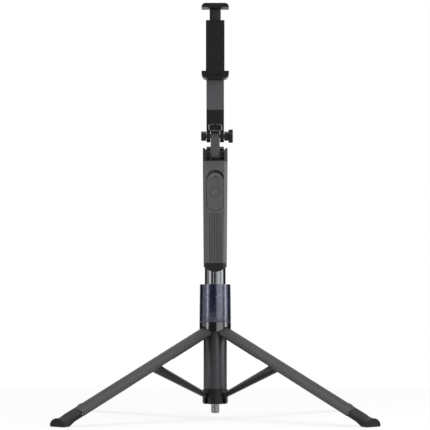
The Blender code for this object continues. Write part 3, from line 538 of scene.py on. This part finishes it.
# %% Eased edges and closed seams
SHARP_EDGE = math.radians(34)
LEVEL = 0.05 * MM
SEAM = 0.24 * MM


def ease(piece, radius_mm, steps=3):
    """Round a piece's sharp edges by a real radius."""
    bevel = piece.modifiers.new("eased_edges", "BEVEL")
    bevel.width = radius_mm * MM
    bevel.segments = steps
    bevel.limit_method = "ANGLE"
    bevel.angle_limit = SHARP_EDGE
    bevel.harden_normals = True


def close_gap(shape, down, up):
    """Let a flat bottom or top reach out, so that a fit's clearance shows as a seam and not as daylight."""
    lowest = min(vertex.co.z for vertex in shape.verts)
    highest = max(vertex.co.z for vertex in shape.verts)
    for vertex in shape.verts:
        if vertex.co.z > highest - LEVEL:
            vertex.co.z += up
        elif vertex.co.z < lowest + LEVEL:
            vertex.co.z -= down


def eased(node, radius_mm, down=0.0, up=0.0):
    """The node again, with eased edges, in the node's place."""
    shape = welded(node)
    close_gap(shape, down, up)
    piece = link_piece(f"{node}_eased", to_mesh(node, shape), node)
    ease(piece, radius_mm)
    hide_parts(node)
    return piece


print("seams closed by", round(SEAM / MM, 2), "mm")

# %% Skins from loops of points
def skin(shape, loops):
    """Join each loop of points to the next by a band of faces."""
    for loop, after in zip(loops, loops[1:]):
        for index in range(len(loop)):
            other = (index + 1) % len(loop)
            shape.faces.new((loop[index], loop[other], after[other], after[index]))


def capped_skin(shape, loops):
    """A skin that is closed by a face at its first and last loop."""
    skin(shape, loops)
    shape.faces.new(loops[0])
    shape.faces.new(loops[-1])


def turns(steps):
    """The angles of one full turn in even steps."""
    return [2 * math.pi * step / steps for step in range(steps)]


print("a quarter of a turn:", round(math.degrees(turns(4)[1])), "degrees")

# %% Cutters
def box_tool(low, high):
    """A block used as a cutter and then removed."""
    shape = bmesh.new()
    bmesh.ops.create_cube(shape, size=1.0)
    for vertex in shape.verts:
        vertex.co = [low[axis] + (vertex.co[axis] + 0.5) * (high[axis] - low[axis]) for axis in range(3)]
    return to_mesh("box_tool", shape)


def carve(piece, tool_meshes):
    """Cut tools out of a piece and bake the cuts into its mesh."""
    tools = []
    for tool_mesh in tool_meshes:
        tool = bpy.data.objects.new("tool", tool_mesh)
        scene.collection.objects.link(tool)
        tools.append(tool)
        cut = piece.modifiers.new("cut", "BOOLEAN")
        cut.operation = "DIFFERENCE"
        cut.solver = "EXACT"
        cut.object = tool
    bpy.context.view_layer.update()
    solved = piece.evaluated_get(bpy.context.evaluated_depsgraph_get())
    shaped = bpy.data.meshes.new_from_object(solved)
    piece.modifiers.clear()
    piece.data = shaped
    for tool in tools:
        bpy.data.objects.remove(tool, do_unlink=True)


print("cutters ready")

# %% [markdown]
# ## Sleeve, collar, column and tubes
# The sleeve is a turned tube sprayed with flake lacquer, so it gets a fine lathe with softly rolled ends.
# The collar below it is a polished moulding, slotted for the legs. The telescopic tube is drawn with a
# guide groove down its front, which stops the sections from twisting.

# %% Turned pieces
END_ROLL = 0.4 * MM
ROLL_STEPS = 4
LATHE_STEPS = 144


def radius_at(node, height, pick):
    """The largest or least radius of a node's points at a height."""
    points = [v.co for v in frame["nodes"][node].data.vertices]
    return pick(math.hypot(p.x, p.y) for p in points if abs(p.z - height) < LEVEL)


def rolled(corners):
    """A closed profile whose corners are rounded by short curves."""
    points = []
    total = len(corners)
    for index in range(total):
        before, corner, after = (Vector(corners[(index + shift) % total]) for shift in (-1, 0, 1))
        reach = min(END_ROLL, (before - corner).length / 2.1, (after - corner).length / 2.1)
        first = corner + (before - corner).normalized() * reach
        last = corner + (after - corner).normalized() * reach
        for step in range(ROLL_STEPS + 1):
            share = step / ROLL_STEPS
            points.append(first * (1 - share) ** 2 + corner * 2 * share * (1 - share) + last * share ** 2)
    return points


def turned(name, node):
    """A plain tube turned afresh about the column's axis, in the node's place."""
    low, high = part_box(node)
    ends = ((high.z, max), (high.z, min), (low.z, min), (low.z, max))
    profile = rolled([(radius_at(node, height, pick), height) for height, pick in ends])
    shape = bmesh.new()
    rings = [[shape.verts.new((p.x * math.cos(a), p.x * math.sin(a), p.y)) for p in profile]
             for a in turns(LATHE_STEPS)]
    skin(shape, rings + rings[:1])
    piece = link_piece(name, to_mesh(name, shape), node)
    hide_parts(node)
    print(name, round((high.z - low.z) / MM, 1), "mm long")


turned("sleeve_lacquered", "grip_sleeve")
turned("column_brushed", "column_tube")
eased("leg_collar", 0.3, up=SEAM)
eased("foot_spigot", 0.2)

# %% Telescopic tube with its guide groove
GROOVE_WIDTH = 3.4 * MM
GROOVE_DEPTH = 0.5 * MM
GROOVE_ROLL = 0.35 * MM
TUBE_STEPS = 240


def grooved_ring(radius):
    """Points round the tube's outside, with a rolled groove at the front."""
    ring = []
    for turn in turns(TUBE_STEPS):
        x, y = radius * math.cos(turn), radius * math.sin(turn)
        if y < 0:
            edge = (GROOVE_WIDTH / 2 - abs(x)) / GROOVE_ROLL
            y += GROOVE_DEPTH * min(max(edge + 0.5, 0.0), 1.0)
        ring.append((x, y))
    return ring


def grooved_tube(node):
    """The first tube: two skins joined by its end rims."""
    bottom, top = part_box(node)
    outer = grooved_ring(radius_at(node, top.z, max))
    bore = radius_at(node, top.z, min)
    inner = [(bore * math.cos(a), bore * math.sin(a)) for a in turns(TUBE_STEPS)]
    shape = bmesh.new()
    loops = [[shape.verts.new((x, y, z)) for x, y in points]
             for points, z in ((outer, bottom.z), (outer, top.z), (inner, top.z), (inner, bottom.z))]
    skin(shape, loops + loops[:1])
    return to_mesh("drawn_tube", shape)


tube = link_piece("tube_drawn", grooved_tube("tube_1"), "tube_1", 40)
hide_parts("tube_1")
print("tube with a groove of", round(GROOVE_WIDTH / MM, 1), "mm")

# %% [markdown]
# ## Legs, shoes and struts
# Each leg is a long injection-moulded channel, stiffened inside by short cross ribs near its lower end. The
# ribs show in the photograph as a faint ripple on the lower edge. They are gussets against the side walls,
# so that the strut's end still slides between them.

# %% Ribs of a leg
RIB_START = 100 * MM
RIB_PITCH = 9 * MM
RIB_COUNT = 10
RIB_THICKNESS = 1.2 * MM
# Radius in millimetres and angle in degrees from the middle of the leg.
RIB_SECTION = ((11.7, 31.0), (11.7, 42.0), (15.3, 40.0), (15.3, 34.0))


def leg_frame(number):
    """Matrix from a leg drawn folded about the column to the leg as it stands open."""
    fold = joints[f"leg_{number}_fold"]
    pivot = Vector(fold["pos_m"])
    azimuth = math.atan2(pivot.y, pivot.x)
    open_angle = math.radians(fold["range_deg"][1])
    turn = Matrix.Rotation(azimuth, 4, "Z") @ Matrix.Rotation(-open_angle, 4, "Y")
    return Matrix.Translation(pivot) @ turn @ Matrix.Translation((-pivot.xy.length, 0, 0))


def rib_mesh(number):
    """Both rows of gussets of one leg."""
    section = [(r * MM * math.cos(math.radians(a)), r * MM * math.sin(math.radians(a)))
               for r, a in RIB_SECTION]
    shape = bmesh.new()
    for count in range(RIB_COUNT):
        middle = -RIB_START - count * RIB_PITCH
        for side in (-1, 1):
            ends = (middle - RIB_THICKNESS / 2, middle + RIB_THICKNESS / 2)
            capped_skin(shape, [[shape.verts.new((x, side * y, z)) for x, y in section] for z in ends])
    shape.transform(leg_frame(number))
    return to_mesh("leg_ribs", shape)


print("ribs a leg:", 2 * RIB_COUNT)

# %% Legs, shoes and struts
LEG_COUNT = 4

for number in range(1, LEG_COUNT + 1):
    eased(f"leg_{number}", 0.5)
    shoe = eased(f"foot_{number}", 1.1)
    shoe.data.materials[0] = shoe_finish
    eased(f"strut_{number}", 0.6)
    ribs = link_piece(f"leg_ribs_{number}", rib_mesh(number), f"leg_{number}")
    ease(ribs, 0.2, 2)
eased("strut_hub", 0.5)
print("legs dressed:", LEG_COUNT)

# %% [markdown]
# ## Handle and remote
# The handle is two colours of moulding: a grey grip with fine upright grooves for the fingers, and a black
# cap at each end. The remote control pulls out of its pocket, so it has a crescent nick for a fingernail
# above the round button. The grooves and the nick are cut away by shaped cutters, as a mould's inserts
# would form them.

# %% Handle with its grooves
FLUTE_COUNT = 6
FLUTE_PITCH = 2.4 * MM
FLUTE_WIDTH = 1.0 * MM
FLUTE_DEPTH = 1.0 * MM
FLUTE_RISE = 1.0 * MM
FLUTE_LENGTH = 52.5 * MM
CUT_PAST = 5 * MM

low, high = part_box("handle_body")
handle = link_piece("handle_fluted", to_mesh("handle", welded("handle_body")), "handle_body")
tools = []
for count in range(FLUTE_COUNT):
    x = (count - (FLUTE_COUNT - 1) / 2) * FLUTE_PITCH
    foot = (x - FLUTE_WIDTH / 2, low.y - CUT_PAST, low.z + FLUTE_RISE)
    head = (x + FLUTE_WIDTH / 2, low.y + FLUTE_DEPTH, low.z + FLUTE_RISE + FLUTE_LENGTH)
    tools.append(box_tool(foot, head))
carve(handle, tools)
handle.data.set_sharp_from_angle(angle=math.radians(20))
ease(handle, 0.15, 2)
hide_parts("handle_body")
print("flutes:", FLUTE_COUNT)

# %% Caps of the handle
CAP_SAG = 1.6 * MM
CAP_LIFT = 1.4 * MM


def bow(piece, sag, lift):
    """Bend a cap's lower edge: its middle sags and its two sides lift, as the moulding's lip does."""
    points = [v.co for v in piece.data.vertices]
    middle = (min(p.z for p in points) + max(p.z for p in points)) / 2
    half = max(abs(p.x) for p in points)
    for point in points:
        if point.z < middle:
            point.z += (sag + lift) * (point.x / half) ** 2 - sag


cap = eased("handle_end_cap", 0.3, up=SEAM)
bow(cap, CAP_SAG, CAP_LIFT)
eased("handle_yoke", 0.5, down=SEAM)
print("cap bowed by", round((CAP_SAG + CAP_LIFT) / MM, 1), "mm")

# %% Remote with its nick
NICK_RADIUS = 4.2 * MM
NICK_WIDTH = 1.5 * MM
NICK_TIP = 0.02 * MM
NICK_DEPTH = 1.4 * MM
NICK_DROP = 3.2 * MM
NICK_FROM = math.radians(40)
NICK_SPAN = math.radians(100)
NICK_STEPS = 12


def nick_tool(front, height):
    """A crescent cutter: part of a ring, thin at both ends."""
    top = []
    under = []
    for step in range(NICK_STEPS + 1):
        share = step / NICK_STEPS
        turn = NICK_FROM + NICK_SPAN * share
        x, z = NICK_RADIUS * math.cos(turn), height + NICK_RADIUS * math.sin(turn)
        top.append((x, z))
        under.append((x, z - NICK_WIDTH * math.sin(share * math.pi) - NICK_TIP))
    shape = bmesh.new()
    outline = top + under[::-1]
    depths = (front - CUT_PAST, front + NICK_DEPTH)
    capped_skin(shape, [[shape.verts.new((x, y, z)) for x, z in outline] for y in depths])
    return to_mesh("nick_tool", shape)


low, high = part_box("remote_case")
remote = link_piece("remote_nicked", to_mesh("remote", welded("remote_case")), "remote_case")
carve(remote, [nick_tool(low.y, high.z - NICK_DROP - NICK_RADIUS)])
ease(remote, 0.3, 2)
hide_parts("remote_case")
print("remote", round((high.z - low.z) / MM, 1), "mm long")

# %% Dished button
DISH_RINGS = 8
DISH_STEPS = 64
DISH_DEPTH = 0.2 * MM
DISH_SHARE = 0.94
BUTTON_LIP = 0.05 * MM
# The rim rolls over in two steps: a share of the radius, and the depth behind the face.
BUTTON_ROLL = ((0.985, 0.15 * MM), (1.0, 0.4 * MM))


def button_mesh(node):
    """A round button with a shallow dish for the thumb."""
    front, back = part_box(node)
    centre = (front + back) / 2
    radius = (back.x - front.x) / 2
    rings = []
    for ring in range(1, DISH_RINGS + 1):
        share = ring / DISH_RINGS
        sink = DISH_DEPTH * (1 - share ** 2)
        rings.append((radius * DISH_SHARE * share, front.y + sink + BUTTON_LIP))
    rings += [(radius * share, front.y + depth) for share, depth in BUTTON_ROLL]
    rings.append((radius, back.y))
    shape = bmesh.new()
    capped_skin(shape, [[shape.verts.new((centre.x + r * math.cos(a), y, centre.z + r * math.sin(a)))
                         for a in turns(DISH_STEPS)] for r, y in rings])
    return to_mesh("button", shape)


button = link_piece("button_dished", button_mesh("remote_button"), "remote_button", 50)
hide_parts("remote_button")
print("button dished by", round(DISH_DEPTH / MM, 1), "mm")

# %% [markdown]
# ## Neck, arm, knob and clamp
# The arm is a cranked aluminium bar, blasted so that its edges are soft. The tilt knob has a knurled rim
# for the fingers, cut as fine straight teeth. The nut across from it has coarse flutes. The clamp's jaws
# are rounded mouldings with rubber lips that grip an edge.

# %% Discs on the hinge's axis
def axis_loop(shape, x, centre, radii):
    """A loop of points about the X axis, with a radius for each step of the turn."""
    return [shape.verts.new((x, centre.y + r * math.cos(a), centre.z + r * math.sin(a)))
            for r, a in zip(radii, turns(len(radii)))]


def outer_radius(node, centre):
    """A node's largest radius about the X axis through a centre."""
    points = [v.co for v in frame["nodes"][node].data.vertices]
    return max(math.hypot(p.y - centre.y, p.z - centre.z) for p in points)


print("hinge at", round(joints["arm_tilt"]["pos_m"][2] / MM, 1), "mm")

# %% Knurled knob and fluted nut
TOOTH_STEPS = 4
RIM_CHAMFER = 0.6 * MM
RIM_EASE = 0.4 * MM
RIM_START = 0.497
NECK_RADIUS = 5.0 * MM
NECK_CHAMFER = 0.3 * MM
NECK_STEPS = 64
NECK_OVERLAP = 0.02


def toothed(node, teeth, depth_mm, from_share):
    """A disc on the X axis whose rim carries straight teeth from a share of its length to its end."""
    low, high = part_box(node)
    centre = (low + high) / 2
    outer = outer_radius(node, centre)
    start = low.x + (high.x - low.x) * from_share
    teeth_cut = [depth_mm * MM * (0.5 - 0.5 * math.cos(teeth * a)) for a in turns(teeth * TOOTH_STEPS)]
    shape = bmesh.new()
    stations = ((start, RIM_CHAMFER), (start + RIM_EASE, 0.0),
                (high.x - RIM_EASE, 0.0), (high.x, RIM_CHAMFER))
    capped_skin(shape, [axis_loop(shape, x, centre, [outer - shrink - cut for cut in teeth_cut])
                        for x, shrink in stations])
    return to_mesh("toothed", shape)


def knob_neck(node):
    """The smooth neck behind the knob's rim."""
    low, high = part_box(node)
    stop = low.x + (high.x - low.x) * (RIM_START + NECK_OVERLAP)
    shape = bmesh.new()
    stations = ((low.x, NECK_RADIUS - NECK_CHAMFER), (low.x + NECK_CHAMFER, NECK_RADIUS), (stop, NECK_RADIUS))
    capped_skin(shape, [axis_loop(shape, x, (low + high) / 2, [r] * NECK_STEPS) for x, r in stations])
    return to_mesh("knob_neck", shape)


knob = link_piece("knob_rim", toothed("tilt_knob", 40, 0.35, RIM_START), "tilt_knob", 40)
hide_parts("tilt_knob")
link_piece("knob_neck", knob_neck("tilt_knob"), "tilt_knob")
nut = link_piece("nut_fluted", toothed("tilt_nut", 12, 0.5, 0.0), "tilt_nut", 40)
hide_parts("tilt_nut")
print("knob and nut cut")

# %% Bushes in the yoke
BUSH_RADIUS = 7.4 * MM
BUSH_FLAT = 5.3 * MM
BUSH_STEPS = 96


def bush_mesh(node):
    """A bush's wide cheek on the X axis, flat below where it clears the yoke's floor."""
    low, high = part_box(node)
    centre = (low + high) / 2
    section = [(centre.y + BUSH_RADIUS * math.cos(a), centre.z + max(BUSH_RADIUS * math.sin(a), -BUSH_FLAT))
               for a in turns(BUSH_STEPS)]
    shape = bmesh.new()
    ends = (low.x - SEAM, high.x + SEAM)
    capped_skin(shape, [[shape.verts.new((x, y, z)) for y, z in section] for x in ends])
    return to_mesh("bush", shape)


for side in ("left", "right"):
    node = f"neck_bush_{side}"
    bush = link_piece(f"{node}_flanged", bush_mesh(node), node)
    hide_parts(node)
print("bushes turned")

# %% Arm, neck, clip and clamp
EDGE_RADII_MM = {"arm": 0.9, "neck": 0.5, "hinge_clip": 0.5, "clamp_spine": 0.4, "lower_jaw": 1.2,
                 "upper_jaw": 0.9, "lower_lip_pad": 0.6, "upper_lip_pad": 0.5}

for node, radius_mm in EDGE_RADII_MM.items():
    piece = eased(node, radius_mm)
    if node == "neck":
        piece.data.materials[0] = neck_finish
print("clamp dressed")

# %% [markdown]
# ## Pieces kept from the frame
# Pins, inner tubes and other hidden pieces hardly show, so their exact solids stay and only take their
# finish.

# %% Kept nodes
for node, item in frame["nodes"].items():
    if not item.hide_render:
        item.data.materials.clear()
        item.data.materials.append(finishes[slot_of[node]])
